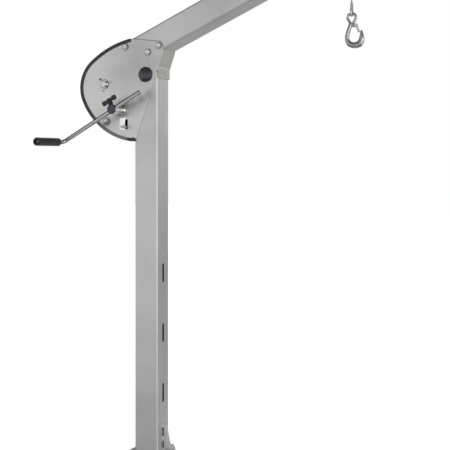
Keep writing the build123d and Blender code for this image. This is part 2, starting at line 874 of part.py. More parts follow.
def thimble():
    foot, top = loop_points()
    apex = foot[1] + (top[1] - foot[1]) * foot[0] / (foot[0] - top[0])
    tip = 1 - thimble_taper
    rise = apex * thimble_taper
    outer = make_face(belt(loop_radius, loop_radius * tip, rise))
    inner = make_face(belt(thimble_radius, thimble_radius * tip, rise * thimble_radius / loop_radius))
    shape = (outer - inner) & (Pos(0, thimble_length - apex) * Rectangle(2 * apex, 2 * apex))
    spot = Plane((reach - thimble_width / 2, 0, thimble_centre), x_dir=(0, 1, 0), z_dir=(1, 0, 0))
    body = spot * extrude(shape, thimble_width)
    start = Plane((reach, top[0], ferrule_low), z_dir=(0, foot[0] - top[0], foot[1] - top[1]))
    return body - sweep(start * Circle(rope_radius + rope_gap), path=loop_wire())


# Hook, made about its bowl's centre
def hook():
    path = Spline(*[section[:2] for section in hook_sections])
    sections = []
    for x, z, breadth, depth in hook_sections:
        ahead = path % path.param_at_point(Vector(x, z))
        place = Plane((x, 0, z), x_dir=(0, 1, 0), z_dir=(ahead.X, 0, ahead.Y))
        sections.append(place * Ellipse(depth / 2, breadth / 2))
    tip_x, tip_z, tip_breadth = hook_sections[-1][:3]
    body = loft(sections) + Pos(tip_x, 0, tip_z) * Sphere(tip_breadth / 2)
    shank_x, shank_z = hook_sections[0][:2]
    body += Pos(shank_x, 0, shank_z) * Sphere(hook_sections[0][3] / 2)
    lug_x, lug_z = lug_place
    lug = Pos(lug_x, lug_z) * Circle(lug_radius)
    lug += Pos((lug_x + shank_x) / 2, lug_z) * Rectangle(lug_x - shank_x, 2 * lug_radius)
    lug -= Pos(lug_x, lug_z) * Circle(latch_pin_radius + seat_gap)
    body += slab(lug, -lug_thickness / 2, lug_thickness / 2)
    ring_plane = Plane((0, 0, bowl_drop - eye_top_radius), x_dir=(1, 0, 0), z_dir=(0, -1, 0))
    wire = Wire([ring_plane * edge for edge in belt(eye_top_radius, eye_foot_radius, -eye_drop)])
    start = Plane((0, 0, bowl_drop), z_dir=(1, 0, 0))
    return Pos(reach, 0, bowl_height) * (body + sweep(start * Circle(eye_bar_radius), path=wire))


def hook_point(offset):
    return reach + offset[0], bowl_height + offset[1]


def latch_pin():
    place = hook_point(lug_place)
    half = lug_thickness / 2 + latch_gap + latch_sheet
    pin = rod(place, latch_pin_radius, -half - latch_pin_head, half + latch_pin_head)
    pin += rod(place, latch_pin_head_radius, -half - latch_pin_head, -half)
    return pin + rod(place, latch_pin_head_radius, half, half + latch_pin_head)


def latch():
    pivot = hook_point(lug_place)
    tip_x, tip_z, tip_breadth = hook_sections[-1][:3]
    to_tip = (tip_x - lug_place[0], tip_z - lug_place[1])
    aside = latch_tip_width / 2 + latch_shift + face_gap + tip_breadth / 2
    lean = degrees(atan2(to_tip[1], to_tip[0]) - asin(aside / hypot(*to_tip)))
    inner = lug_thickness / 2 + latch_gap
    outer = inner + latch_sheet
    side = Pos(latch_length / 2, latch_shift) * Rectangle(latch_length, latch_tip_width)
    ear = Circle(latch_ear_radius) + side - Circle(latch_pin_radius + running_gap)
    web_start = latch_ear_radius + face_gap
    web_height = latch_tip_width / 2 + latch_shift - latch_sheet / 2
    web = Pos((web_start + latch_length) / 2, web_height) * Rectangle(latch_length - web_start, latch_sheet)
    spot = Pos(*pivot) * Rot(0, 0, lean)
    body = slab(spot * ear, -outer, -inner) + slab(spot * ear, inner, outer)
    return body + slab(spot * web, -outer, outer)


# Winch pieces
def involute_gear(teeth, first_angle):
    pitch = module * teeth / 2
    base = pitch * cos(radians(pressure_angle))
    tip, root = pitch + module, pitch - tooth_foot * module
    half_tooth = (pi * module / 2 - tooth_backlash / 2) / 2 / pitch
    start = max(base, root)
    flank = []
    for i in range(flank_points):
        radius = start + (tip - start) * i / (flank_points - 1)
        roll = sqrt(radius ** 2 - base ** 2) / base
        pitch_roll = tan(radians(pressure_angle))
        angle = half_tooth + (pitch_roll - atan2(pitch_roll, 1)) - (roll - atan2(roll, 1))
        flank.append((radius, angle))
    if root < start:
        flank.insert(0, (root, flank[0][1]))
    points = []
    for tooth in range(teeth):
        middle = radians(first_angle) + 2 * pi * tooth / teeth
        points += [(r * cos(middle - a), r * sin(middle - a)) for r, a in flank]
        points += [(r * cos(middle + a), r * sin(middle + a)) for r, a in reversed(flank)]
    return make_face(Polyline(*points, close=True))


def pinion():
    first = gear_line_angle
    teeth = involute_gear(pinion_teeth, first)
    bore = Circle(shaft_radius + seat_gap)
    body = slab(Pos(*crank_axis) * (teeth - bore), pinion_low, pinion_low + pinion_width)
    return body + slab(Pos(*crank_axis) * (Circle(collar_radius) - bore), press_low, pinion_low)


def drum_gear():
    first = gear_line_angle + 180 + 180 / gear_teeth
    face = involute_gear(gear_teeth, first) - Circle(drum_hub_radius + seat_gap)
    for spot in around(gear_hole_count, gear_hole_circle):
        face -= Pos(*spot) * Circle(gear_hole_radius)
    return slab(Pos(*drum_axis) * face, gear_low, gear_high)


def drum():
    bore = axle_radius + bush_wall
    low, high = drum_low, drum_high
    middle = (low + high) / 2
    web_low, web_high = middle - drum_web / 2, middle + drum_web / 2
    core, hub, rim = core_radius, drum_hub_radius, drum_flange_radius
    inner = core - drum_core_wall
    return turned([(bore, gear_low), (hub, gear_low), (hub, web_low), (inner, web_low), (inner, low),
                   (rim, low), (rim, low + drum_flange), (core, low + drum_flange),
                   (core, high - drum_flange), (rim, high - drum_flange), (rim, high), (inner, high),
                   (inner, web_high), (hub, web_high), (hub, high), (bore, high)], drum_axis)


def drum_bushes():
    bore = axle_radius + running_gap
    outer = axle_radius + bush_wall - seat_gap
    pieces = []
    for end, out in ((gear_low, -1), (drum_high, 1)):
        back, front = end - out * bush_length, end + out * bush_flange
        pieces.append(turned([(bore, back), (outer, back), (outer, end), (bush_flange_radius, end),
                              (bush_flange_radius, front), (bore, front)], drum_axis))
    return Part() + pieces


def boss_screw_places():
    ring = around(boss_screw_count, boss_screw_circle, boss_screw_first_angle)
    return [(drum_axis[0] + x, drum_axis[1] + z) for x, z in ring]


def axle_bosses():
    bore = axle_radius + seat_gap
    pieces = []
    for out, end in ((-1, gear_low - bush_flange - face_gap), (1, drum_high + bush_flange + face_gap)):
        plate, step = out * plate_inner, out * (plate_inner - boss_plate)
        boss = turned([(bore, plate), (boss_radius, plate), (boss_radius, step), (boss_collar_radius, step),
                       (boss_collar_radius, end), (bore, end)], drum_axis)
        for place in boss_screw_places():
            boss -= rod(place, boss_screw_radius + seat_gap, -plate_inner, plate_inner)
        pieces.append(boss)
    return Part() + pieces


def boss_screws():
    pieces = []
    for place in boss_screw_places():
        for out in (-1, 1):
            ends = sorted((out * (plate_inner - boss_plate), out * plate_outer))
            shank = rod(place, boss_screw_radius, *ends)
            ends = sorted((out * plate_outer, out * (plate_outer + boss_screw_head)))
            pieces.append(shank + rod(place, boss_screw_head_radius, *ends))
    return Part() + pieces


def drum_axle():
    face = plate_outer + axle_washer
    end = face + axle_nut_height + bolt_end
    top = -face - axle_head_height
    head = axle_head_radius
    axle = turned([(0, top), (head - axle_head_edge, top), (head, top + axle_head_edge), (head, -face),
                   (axle_radius, -face), (axle_radius, end), (0, end)], drum_axis)
    bore = axle_radius + seat_gap
    near_washer = tube(drum_axis, axle_washer_radius, bore, -face, -plate_outer)
    washer = tube(drum_axis, axle_washer_radius, bore, plate_outer, face)
    end_nut = sideways(nut(axle_nut_flats, axle_nut_height, bore), drum_axis, face, 1)
    return Part() + [axle, near_washer, washer + end_nut]


def crank_shaft():
    end = plate_outer + far_bush_flange + running_gap
    return turned([(0, -hub_bore_end), (shaft_radius, -hub_bore_end), (shaft_radius, collar_low),
                   (collar_radius, collar_low), (collar_radius, collar_low + collar_thickness),
                   (ratchet_seat_radius, collar_low + collar_thickness), (ratchet_seat_radius, press_low),
                   (shaft_radius, press_low), (shaft_radius, end), (0, end)], crank_axis)


def crank_bushes():
    bore = shaft_radius + running_gap
    body = crank_bush_radius
    pieces = []
    for out, flange, radius in ((-1, crank_bush_flange, crank_bush_flange_radius),
                                (1, far_bush_flange, far_bush_flange_radius)):
        inner, outer = out * plate_inner, out * plate_outer
        end = outer + out * flange
        pieces.append(turned([(bore, end), (radius, end), (radius, outer), (body, outer), (body, inner),
                              (bore, inner)], crank_axis))
    return Part() + pieces


def crank_end_screw():
    low = plate_outer + far_bush_flange + running_gap
    seat = low + end_washer
    washer = rod(crank_axis, end_washer_radius, low, seat)
    return washer + sideways(hexagon(end_screw_flats, end_screw_head), crank_axis, seat, 1)


def ratchet_wheel():
    points = []
    for tooth in range(ratchet_teeth):
        angle = ratchet_stop_angle + 360 * tooth / ratchet_teeth
        points.append(polar((0, 0), ratchet_radius, angle))
        points.append(polar((0, 0), ratchet_root_radius, angle + ratchet_face_lean))
    face = make_face(Polyline(*points, close=True)) - Circle(ratchet_seat_radius + running_gap)
    return slab(Pos(*crank_axis) * face, ratchet_low, ratchet_high)


def brake_pads():
    bore = ratchet_seat_radius + running_gap
    near = tube(crank_axis, pad_radius, bore, pad_low, ratchet_low)
    far = tube(crank_axis, pad_radius, bore, ratchet_high, ratchet_high + pad_thickness)
    return Part() + [near, far]


def pawl_pin_arm():
    dx, dz = pawl_pin[0] - pawl_pivot[0], pawl_pin[1] - pawl_pivot[1]
    return hypot(dx, dz), degrees(atan2(dz, dx))


def spring_peg_place():
    return polar(pawl_pivot, spring_peg_distance, pawl_pin_arm()[1])


def pawl():
    pitch = 360 / ratchet_teeth
    next_tip = polar(crank_axis, ratchet_radius + face_gap, ratchet_stop_angle + pitch)
    foot = polar(crank_axis, ratchet_root_radius + face_gap, ratchet_stop_angle + pawl_foot_lean)
    face_top = polar(crank_axis, ratchet_radius + pawl_face_rise, ratchet_stop_angle + pawl_top_lean)
    boss_side = polar(pawl_pivot, pawl_boss_radius, ratchet_stop_angle)
    boss_near = polar(pawl_pivot, pawl_boss_radius, pawl_back_angle)
    tooth = make_face(Polyline(foot, face_top, boss_side, pawl_pivot, boss_near, next_tip, close=True))
    length, angle = pawl_pin_arm()
    arm = Pos(length / 2, 0) * SlotOverall(length + pawl_arm_width, pawl_arm_width)
    face = tooth + Pos(*pawl_pivot) * Rot(0, 0, angle) * arm + Pos(*pawl_pivot) * Circle(pawl_boss_radius)
    face -= Pos(*pawl_pivot) * Circle(pawl_stud_radius + running_gap)
    low = ratchet_low + (ratchet_width - pawl_width) / 2
    body = slab(face, low, low + pawl_width)
    knob = plate_outer + pawl_knob_start
    body += rod(pawl_pin, pawl_pin_radius, -knob, low)
    handle = rod(pawl_pin, pawl_knob_radius, -knob - pawl_knob_length, -knob)
    body += chamfer(handle.edges().filter_by(GeomType.CIRCLE), pawl_knob_edge)
    peg_end = low + pawl_width + 2 * spring_radius
    return body + rod(spring_peg_place(), spring_peg_radius, low + pawl_width, peg_end)


def pawl_stud():
    top = ratchet_low + (ratchet_width + pawl_width) / 2 + face_gap
    stud = rod(pawl_pivot, pawl_stud_radius, -plate_inner, top)
    stud += rod(pawl_pivot, pawl_stud_head_radius, top, top + pawl_stud_head)
    shoulder = ratchet_low + (ratchet_width - pawl_width) / 2 - face_gap
    stud += rod(pawl_pivot, pawl_boss_radius, -plate_inner, shoulder)
    anchor = rod(spring_anchor_place(), spring_anchor_radius, -plate_inner, spring_plane() + spring_radius)
    return Part() + [stud, anchor]


def spring_plane():
    return ratchet_low + (ratchet_width + pawl_width) / 2 + spring_radius + face_gap


def spring_anchor_place():
    peg = spring_peg_place()
    return peg[0], peg[1] - spring_anchor_drop


def pawl_spring():
    peg, anchor = spring_peg_place(), spring_anchor_place()
    ring = spring_peg_radius + spring_ring_gap + spring_wire
    low, high = anchor[1] + ring, peg[1] - ring
    pitch = (high - low) / spring_coils
    root = spring_radius - spring_wire
    points = [(0, low)]
    for i in range(spring_coils):
        points += [(root, low + pitch * i), (spring_radius, low + pitch * (i + 1 / 2))]
    points += [(root, high), (0, high)]
    coil = Pos(anchor[0], spring_plane(), 0) * turned_upright(points)
    ends = [Pos(x, spring_plane(), z) * Rot(90, 0, 0) * Torus(ring, spring_wire) for x, z in (peg, anchor)]
    return coil + ends


# Crank
def crank_hub():
    low, step, end = -hub_start, -hub_step, -hub_end
    bore = shaft_radius + seat_gap
    bore_end = -hub_bore_end - seat_gap
    body = turned([(bore, low), (hub_sleeve_radius, low), (hub_sleeve_radius, step),
                   (hub_radius, step - hub_edge), (hub_radius, end + hub_edge), (hub_radius - hub_edge, end),
                   (0, end), (0, bore_end), (bore, bore_end)], crank_axis)
    body -= crank_frame() * Rot(0, 90, 0) * Cylinder(bar_radius + running_gap, bar_arm)
    return body - crank_frame() * extrude(Circle(wing_stud_radius + running_gap), wing_boss_top)


# Frame on the bar's axis at the hub: X along the bar to its free end, Z towards the wing screw
def crank_frame():
    return Pos(crank_axis[0], -crank_plane, crank_axis[1]) * Rot(0, -bar_angle, 0)


def crank_bar():
    grip_foot = (-bar_arm, crank_plane + grip_recess - grip_end, 0)
    wire = FilletPolyline((bar_tail, 0, 0), (-bar_arm, 0, 0), grip_foot, radius=bar_bend)
    bar = sweep(Plane((bar_tail, 0, 0), z_dir=(-1, 0, 0)) * Circle(bar_radius), path=wire)
    return crank_frame() * bar


def grip_axis():
    spot = crank_frame() * Pos(-bar_arm, 0, 0)
    return spot.position.X, spot.position.Z


def crank_grip():
    bore = bar_radius + grip_gap
    start, end = -grip_start, -grip_end
    return turned([(bore, start), (grip_neck_radius, start), (grip_radius, start - grip_taper),
                   (grip_radius, end + grip_edge), (grip_radius - grip_edge / 2, end),
                   (grip_recess_radius, end), (grip_recess_radius, end + grip_recess),
                   (bore, end + grip_recess)], grip_axis())


def grip_retainer():
    high = -(grip_end - grip_recess)
    low = high - retainer_thickness
    washer = rod(grip_axis(), retainer_radius, low, high)
    return washer + rod(grip_axis(), retainer_screw_radius, low - retainer_screw_head, low)


def wing_screw():
    low = bar_radius + wing_tip_gap
    stud = Pos(0, 0, low) * extrude(Circle(wing_stud_radius), wing_boss_foot - low)
    boss = Pos(0, 0, wing_boss_foot) * extrude(Circle(wing_boss_radius), wing_boss_top - wing_boss_foot)
    middle = wing_low + wing_height / 2
    lobe = RectangleRounded(wing_lobe_length, wing_height, wing_lobe_corner)
    lobe_place = (wing_span - wing_lobe_length) / 2
    shape = Rectangle(2 * lobe_place, wing_waist) + Pos(-lobe_place, 0) * lobe + Pos(lobe_place, 0) * lobe
    wings = slab(Pos(0, middle) * shape, -wing_thickness / 2, wing_thickness / 2)
    wings = fillet(wings.faces().filter_by(Axis.Y).edges(), wing_edge)
    return crank_frame() * (stud + boss + wings)


sub_parts = (base_plate, foot_tube, foot_flange, foot_gussets, pivot_post, post_cap, thrust_washer,
             swivel_flange, keeper_ring, flange_bolts, flange_nuts, bearing_plates, bearing_bushes,
             mast_tube, mast_rib, crank_side_plate, far_side_plate, cover_band, nose_plate, tie_tube,
             tie_plugs, head_bolts, head_nuts, head_sleeves, arm_tube, arm_end_cap, sheave, sheave_bush,
             sheave_spacers, sheave_axle, rope_run, hanging_rope, rope_coil, rope_ferrule, rope_eye,
             thimble, hook, latch_pin, latch, pinion, drum_gear, drum, drum_bushes, axle_bosses,
             boss_screws, drum_axle, crank_shaft, crank_bushes, crank_end_screw, ratchet_wheel,
             brake_pads, pawl, pawl_stud, pawl_spring, crank_hub, crank_bar, crank_grip, grip_retainer,
             wing_screw)

os.makedirs("parts", exist_ok=True)
for build in sub_parts:
    export_step(build(), f"parts/{build.__name__}.step")
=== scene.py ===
import math
import bmesh
import bpy
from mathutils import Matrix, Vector


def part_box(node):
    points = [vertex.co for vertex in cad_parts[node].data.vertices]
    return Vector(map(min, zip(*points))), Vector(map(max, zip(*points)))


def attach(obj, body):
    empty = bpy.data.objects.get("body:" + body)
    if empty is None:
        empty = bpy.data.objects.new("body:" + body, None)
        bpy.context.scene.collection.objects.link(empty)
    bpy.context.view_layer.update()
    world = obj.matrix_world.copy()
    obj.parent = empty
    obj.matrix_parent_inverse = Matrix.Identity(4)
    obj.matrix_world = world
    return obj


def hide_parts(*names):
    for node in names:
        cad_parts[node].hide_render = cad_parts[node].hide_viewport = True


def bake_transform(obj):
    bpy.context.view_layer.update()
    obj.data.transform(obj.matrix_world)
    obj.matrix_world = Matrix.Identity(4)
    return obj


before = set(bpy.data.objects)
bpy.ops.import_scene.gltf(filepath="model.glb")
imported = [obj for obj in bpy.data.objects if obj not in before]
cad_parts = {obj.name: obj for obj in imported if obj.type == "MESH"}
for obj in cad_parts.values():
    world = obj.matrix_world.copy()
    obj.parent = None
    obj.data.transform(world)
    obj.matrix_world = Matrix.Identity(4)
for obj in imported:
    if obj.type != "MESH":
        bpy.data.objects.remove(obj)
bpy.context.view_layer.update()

scene = bpy.context.scene


# Small helpers for objects and nodes
def meshObject(name, points, faces):
    mesh = bpy.data.meshes.new(name)
    mesh.from_pydata([tuple(p) for p in points], [], faces)
    mesh.update()
    return placeMesh(name, mesh)


def placeMesh(name, mesh):
    piece = bpy.data.objects.new(name, mesh)
    scene.collection.objects.link(piece)
    return piece


def grey(value):
    return (value, value, value, 1)


def addNode(tree, kind, inputs, **settings):
    node = tree.nodes.new(kind)
    for name, value in settings.items():
        setattr(node, name, value)
    for name, value in inputs.items():       # an input is linked to a socket, or set to a value
        if isinstance(value, bpy.types.NodeSocket):
            tree.links.new(value, node.inputs[name])
        else:
            node.inputs[name].default_value = value
    return node


def spread(tree, factor, low, high, fromLow=0.3, fromHigh=0.7):
    sizes = {"Value": factor, "From Min": fromLow, "From Max": fromHigh, "To Min": low, "To Max": high}
    return addNode(tree, "ShaderNodeMapRange", sizes).outputs["Result"]


# A Mix node's colours go in at 6 and 7 and come out at 2, because their names repeat
def chooseColour(tree, factor, first, second):
    return addNode(tree, "ShaderNodeMix", {0: factor, 6: first, 7: second}, data_type="RGBA").outputs[2]


def multiplyColours(tree, first, second):
    return addNode(tree, "ShaderNodeMix", {0: 1.0, 6: first, 7: second}, data_type="RGBA",
                   blend_type="MULTIPLY").outputs[2]


def multiplyShares(tree, shares):
    product = shares[0]
    for share in shares[1:]:
        product = addNode(tree, "ShaderNodeMath", {0: product, 1: share}, operation="MULTIPLY").outputs[0]
    return product


def colourRamp(tree, factor, stops):
    ramp = addNode(tree, "ShaderNodeValToRGB", {"Fac": factor})
    ends = ramp.color_ramp.elements
    for place, colour in stops[1:-1]:
        ends.new(place)
    for end, (place, colour) in zip(ends, stops):
        end.position = place
        end.color = colour
    return ramp.outputs["Color"]


# The steps give places from -1 to 1 and the light there, and the place that comes in runs from 0 to 1
def brightness(tree, place, steps):
    return colourRamp(tree, place, [((step + 1) / 2, grey(value)) for step, value in steps])


# Camera and light
photoCamera = {
    "place": (1.3531, -2.6121, 1.265),
    "turn": 21.72,            # degrees left of +Y
    "lens": 58.94,
    "sensor": 36.0,
    "shiftY": -0.1572,
}
studio = {
    "backdrop": 1.0,          # what the camera sees behind the davit
    # What lights the davit: the direction's height from -1 to 1, and its brightness
    "front": [(-1.0, 1.0), (-0.93, 0.95), (-0.84, 0.34), (-0.7, 0.36), (-0.45, 0.24), (-0.38, 0.30),
              (-0.28, 0.72), (-0.08, 1.0), (0.03, 1.0), (0.14, 0.72), (0.26, 0.66), (0.36, 0.6), (0.44, 0.26),
              (1.0, 0.26)],
    "back": [(-1.0, 0.10), (-0.66, 0.14), (-0.5, 0.58), (-0.32, 0.62), (-0.19, 0.28), (-0.06, 0.46),
             (0.02, 0.74), (0.25, 0.92), (0.42, 0.88), (0.5, 0.24), (1.0, 0.22)],
    "frontToBack": (-0.35, 0.6),       # along Y, where the front's light ends and the back's starts
    "leftDark": (-0.44, -0.52, 0.2),   # where the dark part behind on the left starts and ends, and its light
    "floor": 0.97,            # how light the floor is
    "floorRough": 0.9,
    "floorHalf": 14.0,
    "sun": {"power": 3.05, "angle": 55},
    # Two tall, narrow soft boxes at the right
    "boxes": [{"place": (4.2, -2.1, 0.6), "aim": (0, 0, 0.6), "size": (0.4, 5.6), "power": 32},
              {"place": (2.3, -3.6, 1.7), "aim": (0, 0, 1.5), "size": (0.16, 1.8), "power": 10}],
}


def makeCamera(look):
    camera = bpy.data.cameras.new("photoCamera")
    camera.lens = look["lens"]
    camera.sensor_width = look["sensor"]
    camera.shift_y = look["shiftY"]
    holder = bpy.data.objects.new("photoCamera", camera)
    scene.collection.objects.link(holder)
    holder.location = look["place"]
    holder.rotation_euler = (math.pi / 2, 0, math.radians(look["turn"]))
    scene.camera = holder


def makeSun(look):
    sun = bpy.data.lights.new("topSun", "SUN")
    sun.energy = look["power"]
    sun.angle = math.radians(look["angle"])
    holder = bpy.data.objects.new("topSun", sun)
    scene.collection.objects.link(holder)
    holder.visible_glossy = False     # it only lights paint and plastic, and casts the soft shadows


def makeSoftBox(look):
    lamp = bpy.data.lights.new("softBox", "AREA")
    lamp.shape = "RECTANGLE"
    lamp.size, lamp.size_y = look["size"]
    lamp.energy = look["power"]
    holder = bpy.data.objects.new("softBox", lamp)
    scene.collection.objects.link(holder)
    holder.location = look["place"]
    aim = Vector(look["aim"]) - Vector(look["place"])
    holder.rotation_euler = aim.to_track_quat("-Z", "Y").to_euler()


def makeFloor(look):
    half = look["floorHalf"]
    floor = meshObject("floor", [(-half, -half, 0), (half, -half, 0), (half, half, 0), (-half, half, 0)],
                       [(0, 1, 2, 3)])
    material, shader = newMaterial("floorPaint")
    shader.inputs["Base Color"].default_value = grey(look["floor"])
    shader.inputs["Roughness"].default_value = look["floorRough"]
    floor.data.materials.append(material)
    floor.visible_glossy = False      # the metal mirrors the studio's light, not the floor
    floor.visible_shadow = False


def makeStudio(look):
    world = bpy.data.worlds.new("studio")
    world.use_nodes = True
    tree = world.node_tree
    heading = tree.nodes.new("ShaderNodeTexCoord").outputs["Generated"]
    parts = addNode(tree, "ShaderNodeSeparateXYZ", {"Vector": heading}).outputs
    height = spread(tree, parts["Z"], 0, 1, -1, 1)
    behind = spread(tree, parts["Y"], 0, 1, *look["frontToBack"])
    start, end, dark = look["leftDark"]
    leftward = spread(tree, parts["X"], 0, 1, start, end)
    behindLight = chooseColour(tree, leftward, brightness(tree, height, look["back"]), grey(dark))
    light = chooseColour(tree, behind, brightness(tree, height, look["front"]), behindLight)
    cameraRay = tree.nodes.new("ShaderNodeLightPath").outputs["Is Camera Ray"]
    seen = chooseColour(tree, cameraRay, light, grey(look["backdrop"]))
    tree.links.new(seen, tree.nodes["Background"].inputs["Color"])
    scene.world = world
    scene.view_settings.view_transform = "Standard"
    makeSun(look["sun"])
    for box in look["boxes"]:
        makeSoftBox(box)
    makeFloor(look)


# Materials: a pattern in the piece's own metres, then colour, roughness and bump from it
metalLook = {"patchDetail": 4.0, "bumpDepth": 0.0002}
plasticLook = {"patches": 30, "patchDetail": 4.0, "speckleDetail": 2.0, "bumpDepth": 0.00012,
               "lighter": 1.35, "lift": 0.002}


def newMaterial(name):
    material = bpy.data.materials.new(name)
    material.use_nodes = True
    tree = material.node_tree
    tree.nodes.clear()
    shader = tree.nodes.new("ShaderNodeBsdfPrincipled")
    addNode(tree, "ShaderNodeOutputMaterial", {"Surface": shader.outputs["BSDF"]})
    return material, shader


def objectPlace(tree):
    return tree.nodes.new("ShaderNodeTexCoord").outputs["Object"]


def patternNoise(tree, stretch, turn=(0, 0, 0), detail=3.0, rough=0.55):
    mapping = addNode(tree, "ShaderNodeMapping", {
        "Vector": objectPlace(tree),
        "Rotation": [math.radians(a) for a in turn],
        "Scale": [1 / s for s in stretch],
    }, vector_type="TEXTURE")
    noise = addNode(tree, "ShaderNodeTexNoise", {"Vector": mapping.outputs["Vector"], "Scale": 1.0,
                                                 "Detail": detail, "Roughness": rough})
    return noise.outputs["Fac"]


def mixColours(tree, factor, first, second, low=0.35, high=0.65):
    return colourRamp(tree, factor, [(low, (*first, 1)), (high, (*second, 1))])


def addBump(tree, shader, height, strength, depth):
    bump = addNode(tree, "ShaderNodeBump", {"Height": height, "Strength": strength, "Distance": depth})
    tree.links.new(bump.outputs["Normal"], shader.inputs["Normal"])


def brushedMetal(name, colour, rough, grain, turn=(0, 0, 0), cloud=5.0, bump=0.25, drift=0.06, streak=0.9):
    material, shader = newMaterial(name)
    tree = material.node_tree
    lines = patternNoise(tree, grain, turn)
    clouds = patternNoise(tree, (cloud, cloud, cloud), detail=metalLook["patchDetail"])
    light = [min(1, c * (1 + drift)) for c in colour]
    dark = [c * (1 - drift) for c in colour]
    fine = mixColours(tree, lines, [streak] * 3, [1.0] * 3)
    tone = multiplyColours(tree, mixColours(tree, clouds, dark, light), fine)
    tree.links.new(tone, shader.inputs["Base Color"])
    shader.inputs["Metallic"].default_value = 1.0
    tree.links.new(spread(tree, lines, *rough), shader.inputs["Roughness"])
    addBump(tree, shader, lines, bump, metalLook["bumpDepth"])
    return material


def plastic(name, colour, rough, grain=900, bump=0.3, coat=0.0):
    material, shader = newMaterial(name)
    tree = material.node_tree
    speckle = patternNoise(tree, (grain, grain, grain), detail=plasticLook["speckleDetail"])
    clouds = patternNoise(tree, (plasticLook["patches"],) * 3, detail=plasticLook["patchDetail"])
    light = [min(1, c * plasticLook["lighter"] + plasticLook["lift"]) for c in colour]
    tree.links.new(mixColours(tree, clouds, colour, light), shader.inputs["Base Color"])
    tree.links.new(spread(tree, clouds, *rough), shader.inputs["Roughness"])
    shader.inputs["Coat Weight"].default_value = coat
    addBump(tree, shader, speckle, bump, plasticLook["bumpDepth"])
    return material


# What is painted over a finished material. A share runs from 0, none of it, to 1, all of it
def alongAxis(tree, axis, none, full):
    parts = addNode(tree, "ShaderNodeSeparateXYZ", {"Vector": objectPlace(tree)})
    return spread(tree, parts.outputs[axis], 0, 1, none, full)


def distanceAlong(tree, direction):
    return addNode(tree, "ShaderNodeVectorMath", {0: objectPlace(tree), 1: direction},
                   operation="DOT_PRODUCT").outputs["Value"]


def openMaterial(material):
    tree = material.node_tree
    shader = next(n for n in tree.nodes if n.type == "BSDF_PRINCIPLED")
    return tree, shader.inputs["Base Color"]


def paintWhere(tree, socket, share, colour):
    tree.links.new(chooseColour(tree, share, socket.links[0].from_socket, colour), socket)


def tint(tree, socket, tone):
    tree.links.new(multiplyColours(tree, socket.links[0].from_socket, tone), socket)


# Round spots of painted shade, seen along Y
def darkenRound(material, spots):
    tree, socket = openMaterial(material)
    parts = addNode(tree, "ShaderNodeSeparateXYZ", {"Vector": objectPlace(tree)}).outputs
    flat = addNode(tree, "ShaderNodeCombineXYZ", {"X": parts["X"], "Z": parts["Z"]}).outputs["Vector"]
    for x, z, inner, outer, shade in spots:
        away = addNode(tree, "ShaderNodeVectorMath", {0: flat, 1: (x, 0, z)}, operation="DISTANCE")
        tint(tree, socket, spread(tree, away.outputs["Value"], shade, 1, inner, outer))


# Painted shade on the strip between start and end on one axis, at the heights of the gaps
def darkenGaps(material, axis, start, end):
    tree, socket = openMaterial(material)
    soft = ribGapShade["soft"]
    for low, high in ribGapShade["heights"]:
        limits = [(axis, start, start + soft), (axis, end, end - soft), ("X", *ribGapShade["mastFace"]),
                  ("Z", low, low + soft), ("Z", high, high - soft)]
        share = multiplyShares(tree, [alongAxis(tree, *limit) for limit in limits])
        paintWhere(tree, socket, share, grey(ribGapShade["shade"]))


# A soft band of painted shadow above the line from start to end, in X and Z
def darkenEdge(material, start, end, width, under, fade, shade):
    tree, socket = openMaterial(material)
    along = Vector((end[0] - start[0], 0, end[1] - start[1])).normalized()
    across = Vector((-along.z, 0, along.x))
    length = math.dist(start, end)
    shares = []
    for direction, none, full in ((across, width, 0), (across, -under, 0), (along, 0, fade),
                                  (along, length, length - fade)):
        offset = direction.dot(Vector((start[0], 0, start[1])))
        shares.append(spread(tree, distanceAlong(tree, direction), 0, 1, offset + none, offset + full))
    paintWhere(tree, socket, multiplyShares(tree, shares), grey(shade))


# Painted reflection lines along a straight bar that leans by some degrees in the XZ plane
def shadeAcross(material, lean, through, steps):
    tree, socket = openMaterial(material)
    across = Vector((-math.sin(math.radians(lean)), 0, math.cos(math.radians(lean))))
    middle = across.dot(Vector(through))
    half = steps[-1][0]
    place = spread(tree, distanceAlong(tree, across), 0, 1, middle - half, middle + half)
    tint(tree, socket, brightness(tree, place, [(step / half, value) for step, value in steps]))


# A second colour past a place on one axis, and within a stretch of another axis where one is given
def twoTone(material, colour, axis, none, full, within=None):
    tree, socket = openMaterial(material)
    limits = [(axis, none, full)] + ([within] if within else [])
    share = multiplyShares(tree, [alongAxis(tree, *limit) for limit in limits])
    paintWhere(tree, socket, share, (*colour, 1))


# Painted shade round what is bolted through the side plates: X, Z, where it is darkest, where it ends, its
# shade
boltShadeSpots = [
    (-0.0888, 1.6895, 0.0112, 0.018, 0.48), (0.0103, 1.6635, 0.0112, 0.018, 0.48),
    (0.0575, 1.6878, 0.0112, 0.018, 0.48), (-0.1748, 1.3958, 0.0118, 0.022, 0.38),
    (-0.1834, 1.5449, 0.0185, 0.0205, 0.25),
]
# Painted shadow and shade: darker patches of the plate beside the crank's hub and bar, and under the arm
crankShadowSpots = [
    (-0.110, 1.440, 0.018, 0.05, 0.60), (-0.055, 1.466, 0.004, 0.022, 0.80),
    (-0.02, 1.486, 0.004, 0.024, 0.76), (0.014, 1.506, 0.004, 0.024, 0.72),
    (-0.02, 1.62, 0.02, 0.16, 0.80), (-0.08, 1.70, 0.02, 0.24, 0.88),
]
# Painted shade in the unwelded gaps behind the rib
ribGapShade = {"heights": [(0.1065, 0.1375), (0.1535, 0.1895)], "mastFace": (0.0495, 0.0498), "soft": 0.0006,
           "shade": 0.02}
# A painted shadow line on the arm, over the top edge of the side plates
armEdgeShadow = {"start": (-0.0663, 1.7209), "end": (0.0665, 1.7023), "width": 0.0032, "under": 0.0005,
           "fade": 0.001, "shade": 0.06}
